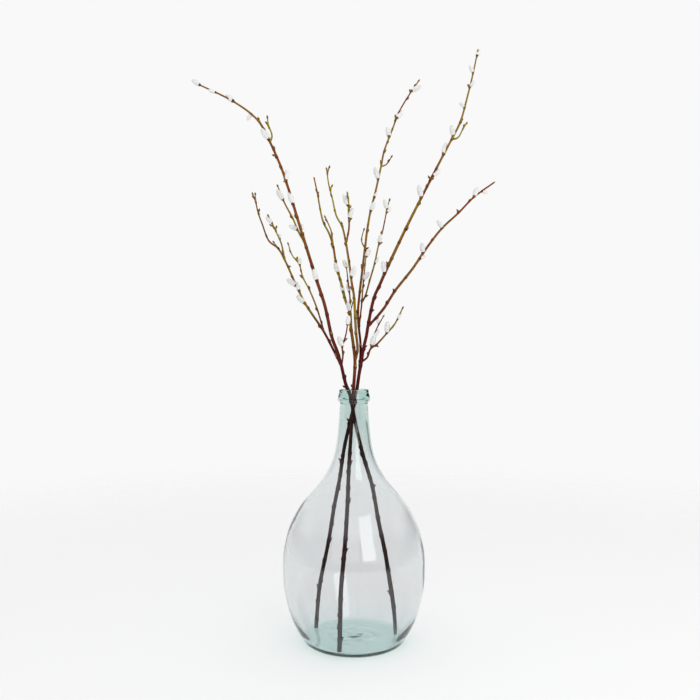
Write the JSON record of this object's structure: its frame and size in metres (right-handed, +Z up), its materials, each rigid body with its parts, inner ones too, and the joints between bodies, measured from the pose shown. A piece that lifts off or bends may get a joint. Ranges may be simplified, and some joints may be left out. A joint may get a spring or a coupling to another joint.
{
  "type": "dried branches in vase",
  "caption": "Dried pussy-willow branches with silky catkins, standing in a clear pale-green balloon vase of blown glass with a slim neck and a thick collar.",
  "frame": {"origin": "centre of the vase's flat base, on the surface it stands on", "axes": "+Z up along the vase's axis, -Y towards the side that the picture shows, +X to the right in it"},
  "size_m": [0.6083, 0.2836, 1.1687],
  "materials": {
    "vase_glass": "clear blown glass with a pale blue-green body colour, greener where it is thick",
    "willow_bark": "smooth satin bark, dark brown at the foot, red-brown above and olive at the tips",
    "catkin_down": "fine silky white down"
  },
  "bodies": {
    "root": {"vase": "vase_glass", "branch_left": "willow_bark", "branch_middle": "willow_bark", "branch_right": "willow_bark"}
  },
  "joints": []
}
